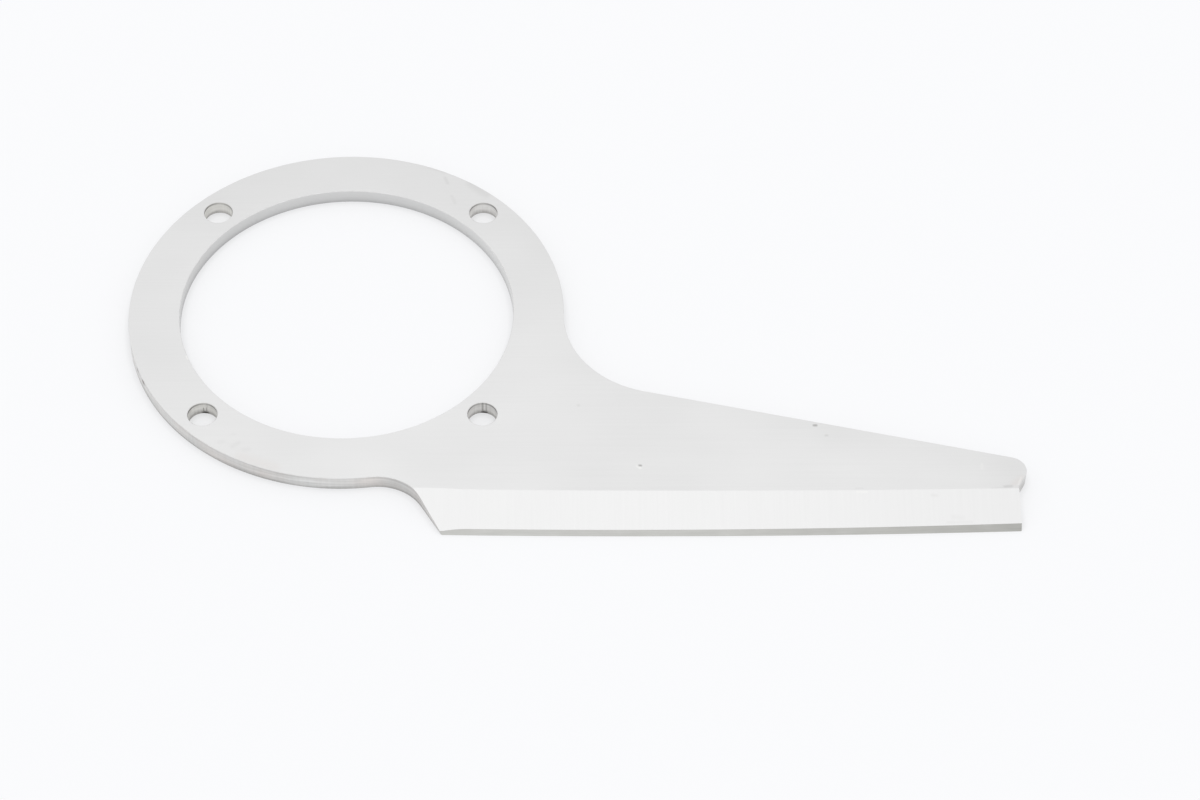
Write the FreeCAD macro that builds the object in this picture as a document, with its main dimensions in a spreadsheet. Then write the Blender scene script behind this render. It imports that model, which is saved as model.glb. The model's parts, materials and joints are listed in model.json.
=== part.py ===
"""A bowl cutter knife: one flat stainless steel plate with a clamping ring and a blade.

The ring is bored to seat on the knife head and drilled for four bolts. The blade leaves the ring
at one side, falls gently along a straight back and ends in a rounded nose. Its long edge is a very
shallow outward curve, ground from the top only and in two stages: a wide bevel that thins the
plate, then a narrow steep one that makes the edge. Both run out at the heel and at the blade's
end. The underside stays flat.

Frame, in millimetres: Z is the bore's axis, the underside lies at z = 0, and X runs along the edge
towards the tip. The edge faces -Y.
"""
import FreeCAD, Part
import math
import os
import Sketcher
from FreeCAD import Vector

NODE = "cutter_knife"

SIZES = [
    ("plate_thickness", 5.0, "rolled plate that the knife is cut from"),
    ("bore_diameter", 104.0, "seat on the knife head"),
    ("bolt_inset", 8.0, "from the bore's wall to the bolt circle"),
    ("rim_margin", 7.75, "from the bolt circle to the ring's outer edge"),
    ("bolt_hole_diameter", 9.0, "clearance for an M8 bolt"),
    ("bolt_count", 4, "holes around the ring"),
    ("first_bolt_angle", 45.0, "from the X axis to the first hole"),
    ("edge_below_ring", 18.25, "from the ring's lowest point to the edge's lowest point"),
    ("edge_arc_radius", 3400.0, "the edge's shallow outward curve"),
    ("edge_arc_station", 98.0, "where along X the edge is lowest"),
    ("grinding_allowance", 2.0, "plate outside the edge that the grinding takes away"),
    ("back_angle", 13.5, "fall of the straight back towards the tip"),
    ("end_reach", 203.2, "from the bore's axis to the blade's end face"),
    ("end_above_bevel", 1.35, "end face, above the wide bevel's lowest top line"),
    ("undercut_height", 9.9, "from the end face's top to the nose's corner, before rounding"),
    ("undercut_angle", 30.0, "between the end face and the undercut below the nose"),
    ("heel_angle", 30.0, "between the heel and a square across the edge"),
    ("heel_offset", 16.35, "from the bore's axis to the line of the heel"),
    ("neck_radius", 31.5, "hollow between the ring and the back"),
    ("heel_radius", 15.0, "hollow between the ring and the heel"),
    ("nose_radius", 5.0, "rounding of the nose"),
    ("bevel_width", 13.35, "wide bevel, from its top line to the edge"),
    ("edge_thickness", 1.17, "plate that the wide bevel leaves at the edge"),
    ("bevel_arc_radius", 4800.0, "the wide bevel's top line, flatter than the edge"),
    ("bevel_arc_station", 117.0, "where along X that line is lowest"),
    ("edge_angle", 50.0, "narrow bevel against the underside"),
]

FORMULAS = [
    ("bolt_circle_radius", "bore_diameter / 2 + bolt_inset"),
    ("ring_radius", "bolt_circle_radius + rim_margin"),
    ("edge_drop", "ring_radius + edge_below_ring"),
    ("end_top_drop", "edge_drop - bevel_width - end_above_bevel"),
    ("blank_arc_radius", "edge_arc_radius + grinding_allowance"),
    ("edge_arc_rise", "edge_arc_radius - edge_drop"),
    ("bevel_arc_rise", "bevel_arc_radius - edge_drop + bevel_width"),
    ("bevel_slope", "(plate_thickness - edge_thickness) / bevel_width"),
    ("grinding_reach", "bevel_width + 2 * grinding_allowance"),
]

ORIGIN = (-1, 1)
X_AXIS = -1
START = 1
END = 2
CENTRE = 3

RING, HEEL, EDGE, END_FACE, UNDERCUT, BACK = range(6)


def make_sheet(doc):
    """Write the sizes and what follows from them into a sheet, and return their values."""
    sheet = doc.addObject("Spreadsheet::Sheet", "Sizes")
    rows = [(name, repr(value), note) for name, value, note in SIZES]
    rows += [(name, "=" + formula, "") for name, formula in FORMULAS]
    for row, (name, content, note) in enumerate(rows, start=1):
        sheet.set("A%d" % row, name)
        sheet.set("B%d" % row, content)
        sheet.set("C%d" % row, note)
        sheet.setAlias("B%d" % row, name)
    doc.recompute()
    return {name: float(sheet.get(name)) for name, content, note in rows}


def add_sketch(body, name, role):
    """Add a sketch on the body's own origin plane with this role."""
    sketch = body.newObject("Sketcher::SketchObject", name)
    plane = [feature for feature in body.Origin.OriginFeatures if feature.Role == role][0]
    sketch.AttachmentSupport = [(plane, "")]
    sketch.MapMode = "FlatFace"
    return sketch


def hold(sketch, kind, *members):
    """Add a geometric constraint."""
    sketch.addConstraint(Sketcher.Constraint(kind, *members))


def dimension(sketch, kind, members, formula):
    """Add a dimension that the sheet gives."""
    value = sketch.evalExpression(formula)
    if kind == "Angle":
        value = math.radians(value)
    index = sketch.addConstraint(Sketcher.Constraint(kind, *members, value))
    sketch.setExpression("Constraints[%d]" % index, formula)


def draw_chain(sketch, corners, arc_centres):
    """Draw a closed anticlockwise chain through rough corners and join its ends.

    A corner's number in arc_centres says that an arc follows it, about the centre given there.
    """
    for number, start in enumerate(corners):
        end = corners[(number + 1) % len(corners)]
        if number in arc_centres:
            centre = arc_centres[number]
            first = math.atan2(start.y - centre.y, start.x - centre.x)
            last = math.atan2(end.y - centre.y, end.x - centre.x)
            if last < first:
                last += 2 * math.pi
            circle = Part.Circle(centre, Vector(0, 0, 1), start.distanceToPoint(centre))
            sketch.addGeometry(Part.ArcOfCircle(circle, first, last))
        else:
            sketch.addGeometry(Part.LineSegment(start, end))
    for number in range(len(corners)):
        hold(sketch, "Coincident", number, END, (number + 1) % len(corners), START)


def draw_outline(sketch, size):
    """Draw the blank: ring, heel, edge with its allowance, end face, undercut and back."""
    edge_centre = Vector(size["edge_arc_station"], size["edge_arc_rise"], 0)
    low = size["edge_arc_rise"] - size["blank_arc_radius"]
    overhang = size["undercut_height"] * math.tan(math.radians(size["undercut_angle"]))
    end_top = Vector(size["end_reach"], -size["end_top_drop"], 0)
    nose = end_top + Vector(overhang, size["undercut_height"], 0)
    rise = (nose.x - size["ring_radius"]) * math.tan(math.radians(size["back_angle"]))
    corners = [
        Vector(size["ring_radius"], nose.y + rise, 0),
        Vector(size["heel_offset"], -size["ring_radius"], 0),
        Vector(2 * size["heel_offset"], low, 0),
        Vector(size["end_reach"], low, 0),
        end_top,
        nose,
    ]
    draw_chain(sketch, corners, {RING: Vector(0, 0, 0), EDGE: edge_centre})
    hold(sketch, "Coincident", RING, CENTRE, *ORIGIN)
    dimension(sketch, "Radius", (RING,), "Sizes.ring_radius")
    dimension(sketch, "Angle", (HEEL,), "Sizes.heel_angle - 90")
    dimension(sketch, "Distance", (*ORIGIN, HEEL), "Sizes.heel_offset")
    dimension(sketch, "Radius", (EDGE,), "Sizes.blank_arc_radius")
    dimension(sketch, "DistanceX", (*ORIGIN, EDGE, CENTRE), "Sizes.edge_arc_station")
    dimension(sketch, "DistanceY", (*ORIGIN, EDGE, CENTRE), "Sizes.edge_arc_rise")
    hold(sketch, "Vertical", END_FACE)
    dimension(sketch, "DistanceX", (*ORIGIN, END_FACE, END), "Sizes.end_reach")
    dimension(sketch, "DistanceY", (END_FACE, END, *ORIGIN), "Sizes.end_top_drop")
    dimension(sketch, "Angle", (UNDERCUT,), "90 - Sizes.undercut_angle")
    dimension(sketch, "Angle", (BACK,), "180 - Sizes.back_angle")
    dimension(sketch, "DistanceY", (UNDERCUT, START, UNDERCUT, END), "Sizes.undercut_height")


def draw_bolt_hole(sketch, size):
    """Draw one bolt hole at the end of a construction line from the bore's axis."""
    line, hole = range(2)
    centre = Vector(size["bolt_circle_radius"], 0, 0)
    sketch.addGeometry(Part.LineSegment(Vector(0, 0, 0), centre), True)
    sketch.addGeometry(Part.Circle(centre, Vector(0, 0, 1), size["bolt_hole_diameter"] / 2))
    hold(sketch, "Coincident", line, START, *ORIGIN)
    hold(sketch, "Coincident", hole, CENTRE, line, END)
    dimension(sketch, "Distance", (line,), "Sizes.bolt_circle_radius")
    dimension(sketch, "Angle", (line,), "Sizes.first_bolt_angle")
    dimension(sketch, "Diameter", (hole,), "Sizes.bolt_hole_diameter")


def draw_bore(sketch, size):
    """Draw the bore about the origin."""
    sketch.addGeometry(Part.Circle(Vector(0, 0, 0), Vector(0, 0, 1), size["bore_diameter"] / 2))
    hold(sketch, "Coincident", 0, CENTRE, *ORIGIN)
    dimension(sketch, "Diameter", (0,), "Sizes.bore_diameter")


def draw_wide_bevel(sketch, size):
    """Draw what the wide bevel takes away: a wedge that starts at its line on the top face."""
    slope, top, outside = range(3)
    start = -size["bevel_arc_radius"]
    far = start - size["grinding_reach"]
    high = size["plate_thickness"]
    low = high - size["grinding_reach"] * size["bevel_slope"]
    draw_chain(sketch, [Vector(far, low, 0), Vector(start, high, 0), Vector(far, high, 0)], {})
    hold(sketch, "Horizontal", top)
    hold(sketch, "Vertical", outside)
    dimension(sketch, "DistanceX", (top, START, *ORIGIN), "Sizes.bevel_arc_radius")
    dimension(sketch, "DistanceY", (*ORIGIN, top, START), "Sizes.plate_thickness")
    dimension(sketch, "DistanceX", (top, END, top, START), "Sizes.grinding_reach")
    dimension(sketch, "Angle", (slope,), "atan(Sizes.bevel_slope)")


def draw_narrow_bevel(sketch, size):
    """Draw what the narrow bevel takes away, outward from the finished edge on the underside."""
    slope, top, outside, bottom = range(4)
    edge = -size["edge_arc_radius"]
    far = edge - size["grinding_reach"]
    high = size["plate_thickness"]
    inner = edge + high / math.tan(math.radians(size["edge_angle"]))
    corners = [Vector(edge, 0, 0), Vector(inner, high, 0), Vector(far, high, 0), Vector(far, 0, 0)]
    draw_chain(sketch, corners, {})
    hold(sketch, "PointOnObject", slope, START, X_AXIS)
    hold(sketch, "Horizontal", top)
    hold(sketch, "Vertical", outside)
    hold(sketch, "Horizontal", bottom)
    dimension(sketch, "DistanceX", (slope, START, *ORIGIN), "Sizes.edge_arc_radius")
    dimension(sketch, "DistanceX", (outside, START, slope, START), "Sizes.grinding_reach")
    dimension(sketch, "DistanceY", (*ORIGIN, top, START), "Sizes.plate_thickness")
    dimension(sketch, "Angle", (slope,), "Sizes.edge_angle")


def pad_outline(body, size):
    """Pad the blank's outline to the plate's thickness."""
    sketch = add_sketch(body, "OutlineSketch", "XY_Plane")
    draw_outline(sketch, size)
    pad = body.newObject("PartDesign::Pad", "Blank")
    pad.Profile = sketch
    pad.Length = size["plate_thickness"]
    pad.setExpression("Length", "Sizes.plate_thickness")
    return sketch, pad


def upright_edge(shape, corner):
    """Return the name of the shape's upright edge on this corner of the outline."""
    for number, edge in enumerate(shape.Edges, start=1):
        feet = [Vector(end.X, end.Y, 0) for end in edge.Vertexes]
        if all(foot.isEqual(corner, 0.001) for foot in feet):
            return "Edge%d" % number
    raise RuntimeError("no upright edge at %s" % corner)


def round_corner(body, name, base, corner, size_name, size):
    """Round the base's upright edge on this corner."""
    fillet = body.newObject("PartDesign::Fillet", name)
    fillet.Base = (base, [upright_edge(base.Shape, corner)])
    fillet.Radius = size[size_name]
    fillet.setExpression("Radius", "Sizes." + size_name)
    body.Document.recompute()
    return fillet


def cut_through(body, name, draw, size):
    """Cut a sketched shape right through the plate."""
    sketch = add_sketch(body, name + "Sketch", "XY_Plane")
    draw(sketch, size)
    pocket = body.newObject("PartDesign::Pocket", name)
    pocket.Profile = sketch
    pocket.Type = "ThroughAll"
    pocket.Reversed = True
    return pocket


def repeat_around(body, name, pocket):
    """Repeat the bolt hole around the bore's axis."""
    axis = [feature for feature in body.Origin.OriginFeatures if feature.Role == "Z_Axis"][0]
    pattern = body.newObject("PartDesign::PolarPattern", name)
    pattern.Originals = [pocket]
    pattern.Axis = (axis, [""])
    pattern.Angle = 360
    pattern.setExpression("Occurrences", "Sizes.bolt_count")
    body.Tip = pattern
    return pattern


def grind(body, name, draw, stem, size):
    """Grind a bevel along an arc: turn its section about the arc's own centre.

    The sketch stands across the blade at the arc's lowest point, with its origin at the centre.
    """
    sketch = add_sketch(body, name + "Sketch", "YZ_Plane")
    sketch.setExpression("AttachmentOffset.Base.x", "Sizes.%s_rise" % stem)
    sketch.setExpression("AttachmentOffset.Base.z", "Sizes.%s_station" % stem)
    draw(sketch, size)
    groove = body.newObject("PartDesign::Groove", name)
    groove.Profile = sketch
    groove.ReferenceAxis = (sketch, ["V_Axis"])
    groove.Midplane = True
    groove.setExpression("Angle", "2 * asin(Sizes.end_reach / Sizes.%s_radius)" % stem)
    body.Tip = groove
    return groove


def make_knife(doc, size):
    """Build the knife as one body, and return it with the features that cut it."""
    body = doc.addObject("PartDesign::Body", "CutterKnife")
    body.Label = NODE
    outline, blank = pad_outline(body, size)
    doc.recompute()
    neck, hollow, tip = [outline.getPoint(line, START) for line in (RING, HEEL, BACK)]
    rounded = round_corner(body, "Neck", blank, neck, "neck_radius", size)
    rounded = round_corner(body, "HeelHollow", rounded, hollow, "heel_radius", size)
    rounded = round_corner(body, "Nose", rounded, tip, "nose_radius", size)
    bore = cut_through(body, "Bore", draw_bore, size)
    hole = cut_through(body, "BoltHole", draw_bolt_hole, size)
    holes = repeat_around(body, "BoltHoles", hole)
    wide = grind(body, "WideBevel", draw_wide_bevel, "bevel_arc", size)
    narrow = grind(body, "NarrowBevel", draw_narrow_bevel, "edge_arc", size)
    doc.recompute()
    return body, [rounded, bore, hole, holes, wide, narrow]


def check(doc, body, features):
    """Stop unless everything is computed, each cut has cut and the knife is one solid."""
    for item in doc.Objects:
        if "Invalid" in item.State or "Error" in item.State:
            raise RuntimeError("%s has failed: %s" % (item.Name, item.State))
        if item.TypeId == "Sketcher::SketchObject" and not item.FullyConstrained:
            raise RuntimeError("%s isn't fully constrained" % item.Name)
    for before, after in zip(features, features[1:]):
        removed = before.Shape.Volume - after.Shape.Volume
        print("%-12s takes away %8.1f mm3" % (after.Name, removed))
        if removed <= 0:
            raise RuntimeError("%s cuts nothing" % after.Name)
    shape = body.Shape
    if shape.isNull() or not shape.isValid() or len(shape.Solids) != 1:
        raise RuntimeError("the knife isn't one valid solid")


def main():
    doc = FreeCAD.newDocument("BowlCutterKnife")
    size = make_sheet(doc)
    body, features = make_knife(doc, size)
    check(doc, body, features)
    os.makedirs("parts", exist_ok=True)
    body.Shape.exportStep("parts/%s.step" % NODE)
    box = body.Shape.BoundBox
    extents = (NODE, box.XLength, box.YLength, box.ZLength, body.Shape.Volume)
    print("%s: %.2f x %.2f x %.2f mm, %.0f mm3" % extents)


main()
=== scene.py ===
# %% [markdown]
# # A bowl cutter knife
#
# The knife is one flat piece of stainless steel: a clamping ring with a bore and four bolt holes,
# and a blade whose long edge is ground in two stages. There is nothing to assemble. So the lesson
# is about two things: cutting a clean solid out of a plan, as the workshop does, and giving each
# of its surfaces the finish that its tool leaves behind.
#
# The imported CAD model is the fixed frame. It is loaded first, and its box is kept, so that the
# finished piece can be held against it at the end.

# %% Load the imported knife
import json
import math

import bmesh
import bpy
from mathutils import Matrix, Vector


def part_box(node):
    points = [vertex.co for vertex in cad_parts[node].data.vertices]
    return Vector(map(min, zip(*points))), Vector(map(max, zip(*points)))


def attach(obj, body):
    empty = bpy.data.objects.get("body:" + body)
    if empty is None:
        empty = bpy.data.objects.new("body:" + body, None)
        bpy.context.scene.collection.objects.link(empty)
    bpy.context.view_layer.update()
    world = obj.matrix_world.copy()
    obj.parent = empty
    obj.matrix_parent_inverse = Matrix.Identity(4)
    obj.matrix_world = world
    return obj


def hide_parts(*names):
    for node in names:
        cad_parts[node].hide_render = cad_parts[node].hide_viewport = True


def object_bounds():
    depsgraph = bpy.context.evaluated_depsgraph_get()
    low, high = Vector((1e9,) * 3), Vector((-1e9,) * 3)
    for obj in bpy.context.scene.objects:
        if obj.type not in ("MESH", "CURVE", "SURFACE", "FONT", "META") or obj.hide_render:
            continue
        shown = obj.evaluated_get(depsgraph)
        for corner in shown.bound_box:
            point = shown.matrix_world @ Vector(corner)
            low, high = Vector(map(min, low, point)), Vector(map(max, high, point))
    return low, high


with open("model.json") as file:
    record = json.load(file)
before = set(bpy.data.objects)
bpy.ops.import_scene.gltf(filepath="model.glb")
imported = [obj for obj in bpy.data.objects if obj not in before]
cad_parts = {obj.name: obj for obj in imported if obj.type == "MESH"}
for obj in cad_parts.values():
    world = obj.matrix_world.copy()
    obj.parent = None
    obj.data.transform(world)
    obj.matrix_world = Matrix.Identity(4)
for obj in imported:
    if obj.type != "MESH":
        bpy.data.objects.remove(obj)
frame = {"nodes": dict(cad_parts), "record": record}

cad_low, cad_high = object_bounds()
print("CAD box in mm:", [round(edge * 1000, 2) for edge in (*cad_low, *cad_high)])

# %% [markdown]
# ## Sizes
#
# Blender works in metres here, while a drawing of a knife is in millimetres. Every size is
# therefore written in millimetres and multiplied by `MM`. The plate, the bore and the bolt holes
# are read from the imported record. The rest of the outline has no entry there, so its lengths and
# angles are named below, as a drawing would give them.

# %% Read the plate, the bore and the bolt circle
MM = 0.001

mounts = {mount["name"]: mount["dims"] for mount in frame["record"]["mounts"]}
plate_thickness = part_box("cutter_knife")[1].z
bore_radius = mounts["knife_head_bore"]["r_mm"] * MM
bolt_circle_radius = mounts["bolt_circle"]["pcd_mm"] / 2 * MM
bolt_count = mounts["bolt_circle"]["count"]
bolt_hole_radius = mounts["bolt_circle"]["hole_r_mm"] * MM
first_bolt_angle = math.radians(45)
print("plate %.1f mm, bore radius %.1f mm, %d holes" % (
    plate_thickness / MM, bore_radius / MM, bolt_count))

# %% Name the sizes of the outline
ring_radius = 67.75 * MM
neck_radius = 31.5 * MM
heel_radius = 15 * MM
nose_radius = 5 * MM
back_angle = math.radians(13.5)
heel_angle = math.radians(30)
heel_offset = 16.35 * MM
undercut_angle = math.radians(30)
undercut_height = 9.9 * MM
end_reach = 203.2 * MM
end_top_drop = 71.3 * MM
end_top = Vector((end_reach, -end_top_drop))
nose_corner = end_top + undercut_height * Vector((math.tan(undercut_angle), 1))
print("nose corner at %.1f, %.1f mm" % (nose_corner.x / MM, nose_corner.y / MM))

# %% Name the sizes of the two bevels
edge_drop = 86 * MM
edge_arc_radius = 3400 * MM
edge_arc_station = 98 * MM
edge_angle = math.radians(50)
bevel_width = 13.35 * MM
bevel_arc_radius = 4800 * MM
bevel_arc_station = 117 * MM
edge_thickness = 1.17 * MM
bevel_slope = (plate_thickness - edge_thickness) / bevel_width
grinding_allowance = 2 * MM
print("wide bevel %.1f degrees, narrow bevel %.0f degrees" % (
    math.degrees(math.atan(bevel_slope)), math.degrees(edge_angle)))

# %% [markdown]
# ## The outline
#
# The plan is a chain of arcs and straight lines that flow into each other. It could be drawn by
# hand as a Bezier curve, but the handles would only come near to true arcs. Here each tangent
# point is worked out instead, and the arcs are divided finely enough for the eye. The chain runs
# anticlockwise, so the steel is always on its left. Along the edge it stands a little outside the
# finished edge, because that strip is what the grinding takes away.


# %% Divide an arc into short straight steps
def arc(centre, start, end, clockwise=False, longest=2.5 * MM, widest=math.radians(5)):
    """Return points on the arc from start to end, both ends included."""
    first, last = start - centre, end - centre
    turn = (math.atan2(last.y, last.x) - math.atan2(first.y, first.x)) % math.tau
    if clockwise:
        turn -= math.tau
    count = math.ceil(max(abs(turn) / widest, abs(turn) * first.length / longest))
    steps = [turn * number / count for number in range(count + 1)]
    return [centre + Matrix.Rotation(angle, 2) @ first for angle in steps]


quarter = arc(Vector((0, 0)), Vector((ring_radius, 0)), Vector((0, ring_radius)))
print("a quarter of the ring takes", len(quarter) - 1, "steps")


# %% Round the hollows beside the ring
def hollow(line_normal, line_offset, along, radius):
    """Return the centre and the two tangent points of an arc between the ring and a line."""
    out = line_offset + radius
    far = math.sqrt((ring_radius + radius) ** 2 - out**2)
    centre = line_normal * out + along * far
    return centre, centre.normalized() * ring_radius, centre - line_normal * radius


back_along = Vector((math.cos(back_angle), -math.sin(back_angle)))
back_normal = Vector((math.sin(back_angle), math.cos(back_angle)))
back_offset = back_normal.dot(nose_corner)
neck = hollow(back_normal, back_offset, back_along, neck_radius)

heel_along = Vector((math.sin(heel_angle), -math.cos(heel_angle)))
heel_normal = Vector((-math.cos(heel_angle), -math.sin(heel_angle)))
heel = hollow(heel_normal, heel_offset, heel_along, heel_radius)
print("neck and heel meet the lines at", [
    [round(length / MM, 2) for length in found[2]] for found in (neck, heel)])

# %% Round the nose
undercut_normal = Vector((math.cos(undercut_angle), -math.sin(undercut_angle)))
sides = Matrix((back_normal, undercut_normal))
nose_offsets = Vector((back_offset, undercut_normal.dot(nose_corner)))
nose_centre = sides.inverted() @ (nose_offsets - Vector((nose_radius, nose_radius)))
print("nose centre", [round(length / MM, 2) for length in nose_centre])

# %% Find where the blank's long edge starts and ends
edge_centre = Vector((edge_arc_station, edge_arc_radius - edge_drop))
blank_arc_radius = edge_arc_radius + grinding_allowance
heel_foot = heel_normal * heel_offset
back_to_foot = heel_foot - edge_centre
half = back_to_foot.dot(heel_along)
reach = math.sqrt(half**2 - back_to_foot.length_squared + blank_arc_radius**2) - half
blank_start = heel_foot + heel_along * reach
run = end_reach - edge_arc_station
blank_end = Vector((end_reach, edge_centre.y - math.sqrt(blank_arc_radius**2 - run**2)))
print("blank edge from", [round(length / MM, 2) for length in (*blank_start, *blank_end)])

# %% Join the chain
outline = [
    *arc(Vector((0, 0)), neck[1], heel[1]),
    *arc(heel[0], heel[1], heel[2], clockwise=True)[1:],
    *arc(edge_centre, blank_start, blank_end),
    end_top,
    *arc(nose_centre, nose_centre + undercut_normal * nose_radius,
         nose_centre + back_normal * nose_radius),
    *arc(neck[0], neck[2], neck[1], clockwise=True)[:-1],
]
plan = bpy.data.meshes.new("knife_plan")
edges = [(number, (number + 1) % len(outline)) for number in range(len(outline))]
plan.from_pydata([point.to_3d() for point in outline], edges, [])
print("outline of", len(outline), "points")

# %% [markdown]
# ## Nodes by name
#
# Shaders, the world and the modelling tree are all built from nodes. One helper adds any kind of
# node, sets its options, and fills each input with a value or with a link from another node's
# output. A node with a single output, such as one sum, can be handed on as it is. The helper also
# moves the node one column to the right of what feeds it, so that the tree reads from left to
# right when it is opened in Blender.


# %% Add a node with its settings and links
COLUMN_WIDTH, ROW_HEIGHT = 200, 180


def add_node(tree, kind, inputs=None, **settings):
    """Add a node and return it. Inputs are given by name or number."""
    node = tree.nodes.new(kind)
    for name, value in settings.items():
        setattr(node, name, value)
    column = 0
    for key, value in (inputs or {}).items():
        for source in value if node.inputs[key].is_multi_input else [value]:
            if isinstance(source, bpy.types.Node):
                [source] = source.outputs
            if isinstance(source, bpy.types.NodeSocket):
                tree.links.new(source, node.inputs[key])
                column = max(column, source.node.location.x + COLUMN_WIDTH)
            else:
                node.inputs[key].default_value = source
    row = sum(1 for other in tree.nodes if other != node and other.location.x == column)
    node.location = (column, -ROW_HEIGHT * row)
    return node


# %% [markdown]
# ## Finishes
#
# The steel is the same everywhere, and still each surface looks different, because a different
# tool made it last and because each faces the light in its own way. Stainless steel has no colour
# of its own to speak of: what the eye sees is how bright and how sharp the reflection of a white
# room is. The plate's rolled face scatters it evenly, the ground bevel is a little brighter, the
# honed strip along the edge and the cut walls are darker, and part of that is painted shade. Image
# textures would fix this to one size of picture. Patterns worked out from the surface's own place
# keep their size in millimetres instead.
#
# Every finish below is put together in the same way. A few shares say how light each place is:
# some follow the finish, and some are painted light and shade, such as gradients along the blade
# and darker feet of the walls. Their sum blends a dark and a light tone, and marks are laid over
# it last: marks of use, and a few painted glints and shades. A colour ramp cannot hold a negative
# share, so where a sum has to come down, a plain negative number is added to it. The tones are the
# usual sRGB hex values, which Blender needs as linear ones.


# %% Turn sRGB colours into linear ones
def linear(hex_colour):
    """Return the linear RGBA of an sRGB colour such as "e8e8e8"."""
    channels = [int(hex_colour[place:place + 2], 16) / 255 for place in (0, 2, 4)]
    return [
        channel / 12.92 if channel <= 0.04045 else ((channel + 0.055) / 1.055) ** 2.4
        for channel in channels
    ] + [1.0]


print("mid grey 808080 is", round(linear("808080")[0], 3), "in linear light")


# %% Start a steel and close it
def start_steel(name):
    """Return a new material, its empty tree and the place on the object, in metres."""
    material = bpy.data.materials.new(name)
    material.use_nodes = True
    tree = material.node_tree
    tree.nodes.clear()
    return material, tree, add_node(tree, "ShaderNodeTexCoord").outputs["Object"]


def close_steel(material, colour, roughness, relief, depth):
    """Shade a material as bare metal. Its relief is a height in shares of the given depth."""
    tree = material.node_tree
    bump = add_node(tree, "ShaderNodeBump", {"Height": relief, "Distance": depth})
    shader = add_node(tree, "ShaderNodeBsdfPrincipled", {
        "Base Color": colour, "Metallic": 1.0, "Roughness": roughness,
        "Normal": bump.outputs["Normal"]})
    add_node(tree, "ShaderNodeOutputMaterial", {"Surface": shader.outputs["BSDF"]})
    print(material.name, "has", len(tree.nodes), "nodes")


# %% Spread a pattern over a surface
# Noise seldom leaves the middle of its range from 0 to 1, so that middle is stretched.
NOISE_LOW, NOISE_HIGH = 0.3, 0.7


def pattern(tree, place, size, low, high, detail=2.0):
    """Return noise from low to high whose features measure size in mm along X, Y and Z."""
    scaled = add_node(tree, "ShaderNodeMapping", {
        "Vector": place, "Scale": [1 / (length * MM) for length in size]})
    noise = add_node(tree, "ShaderNodeTexNoise", {
        "Vector": scaled.outputs["Vector"], "Scale": 1.0, "Detail": detail})
    levels = add_node(tree, "ShaderNodeMapRange", {
        "Value": noise.outputs["Fac"], "From Min": NOISE_LOW, "From Max": NOISE_HIGH,
        "To Min": low, "To Max": high})
    return levels.outputs["Result"]


# %% Follow a course of values along an axis
def course(tree, place, axis, stops):
    """Return the share at each place on an axis, from stops of (millimetres, share) that rise."""
    along = add_node(tree, "ShaderNodeSeparateXYZ", {"Vector": place}).outputs[axis]
    start, end = stops[0][0], stops[-1][0]
    way = add_node(tree, "ShaderNodeMapRange", {
        "Value": along, "From Min": start * MM, "From Max": end * MM})
    ramp = add_node(tree, "ShaderNodeValToRGB", {"Fac": way.outputs["Result"]})
    elements = ramp.color_ramp.elements
    for station, share in stops[1:-1]:
        elements.new((station - start) / (end - start))
    for element, (station, share) in zip(elements, stops):
        element.color = (share, share, share, 1.0)
    return ramp.outputs["Color"]


# %% Draw soft strokes
def strokes(tree, place, marks):
    """Return a mask of soft strokes, each of (start, end, radius, strength) in millimetres."""
    mask = 0.0
    for start, end, radius, strength in marks:
        first, run = Vector(start) * MM, (Vector(end) - Vector(start)) * MM
        away = add_node(tree, "ShaderNodeVectorMath", {0: place, 1: first}, operation="SUBTRACT")
        if run.length > 0:
            share = add_node(tree, "ShaderNodeVectorMath", {
                0: away.outputs["Vector"], 1: run / run.length_squared}, operation="DOT_PRODUCT")
            held = add_node(tree, "ShaderNodeClamp", {"Value": share.outputs["Value"]})
            nearest = add_node(tree, "ShaderNodeVectorMath", {
                0: run, "Scale": held.outputs["Result"]}, operation="SCALE")
            away = add_node(tree, "ShaderNodeVectorMath", {
                0: away.outputs["Vector"], 1: nearest.outputs["Vector"]}, operation="SUBTRACT")
        distance = add_node(tree, "ShaderNodeVectorMath", {
            0: away.outputs["Vector"]}, operation="LENGTH")
        stroke = add_node(tree, "ShaderNodeMapRange", {
            "Value": distance.outputs["Value"], "From Min": radius * MM, "From Max": 0.0,
            "To Min": 0.0, "To Max": strength}, interpolation_type="SMOOTHSTEP")
        mask = add_node(tree, "ShaderNodeMath", {
            0: mask, 1: stroke.outputs["Result"]}, operation="MAXIMUM").outputs["Value"]
    return mask


# %% Blend two tones
def blend(tree, shares, dark, light):
    """Return a colour from dark to light, two hex values or sockets, by the sum of the shares."""
    total = shares[0]
    for share in shares[1:]:
        total = add_node(tree, "ShaderNodeMath", {0: total, 1: share}).outputs["Value"]
    ends = [linear(tone) if isinstance(tone, str) else tone for tone in (dark, light)]
    mix = add_node(tree, "ShaderNodeMix", {0: total, 6: ends[0], 7: ends[1]}, data_type="RGBA")
    return mix.outputs[2]


# %% [markdown]
# ### The rolled face
#
# The plate comes from the mill cold rolled and is then brushed fine. Its face is an even, silky
# grey with broad clouds a few centimetres wide, and with brushing lines along the blade that are
# hard to see. Painted light makes it lighter from the ring's far side to the near one, and painted
# shade darkens it towards the nose and along the back edge near the nose. Use has left a few dark
# specks, rubbed patches near the ring's far side, stains near its lower left rim and a warm tint
# at the nose. A few painted glints sit on it too, one of them at the bore's rim. A flat grey would
# look like card, so all of that is drawn.

# %% Rolled stainless plate
rolled_face, tree, place = start_steel("rolled_stainless_plate")
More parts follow.
